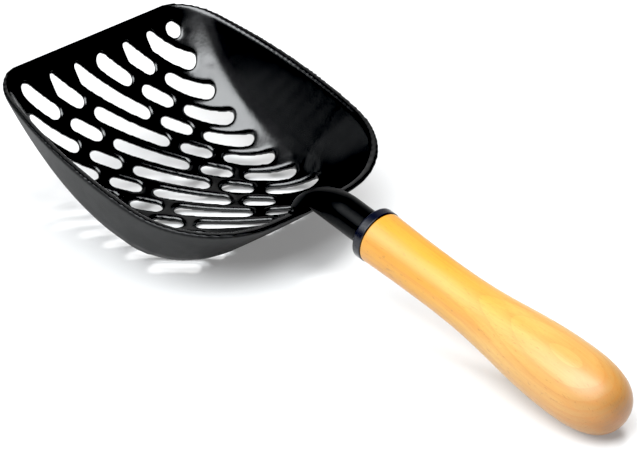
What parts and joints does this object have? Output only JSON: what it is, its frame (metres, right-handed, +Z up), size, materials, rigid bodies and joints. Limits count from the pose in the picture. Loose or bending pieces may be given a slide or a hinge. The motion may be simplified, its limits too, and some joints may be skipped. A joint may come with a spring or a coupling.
{
  "type": "slotted sifting scoop",
  "caption": "Hand scoop with a deep oval coated-metal pan, diagonal sifting slots through its floor, a bent round shank with a collar and a turned wooden handle.",
  "frame": {"origin": "on the table, below the middle of the scoop's length and width, as it lies at rest on the flat under its pan and on the butt of its handle", "axes": "+X from the lip of the pan to the butt of the handle, +Y across the pan, +Z up from the table"},
  "size_m": [0.367, 0.1502, 0.0659],
  "materials": {
    "black_coating": "smooth black powder coat, semi-gloss",
    "dark_collar": "blue-black gloss coat",
    "varnished_beech": "clear varnish over fine straight grain",
    "zinc_insert": "zinc plated",
    "steel_stud": "plain steel"
  },
  "bodies": {
    "root": {"pan": "black_coating", "shank": "black_coating", "weld_bead": "black_coating", "collar": "dark_collar", "handle": "varnished_beech", "threaded_insert": "zinc_insert", "stud": "steel_stud"}
  },
  "joints": []
}
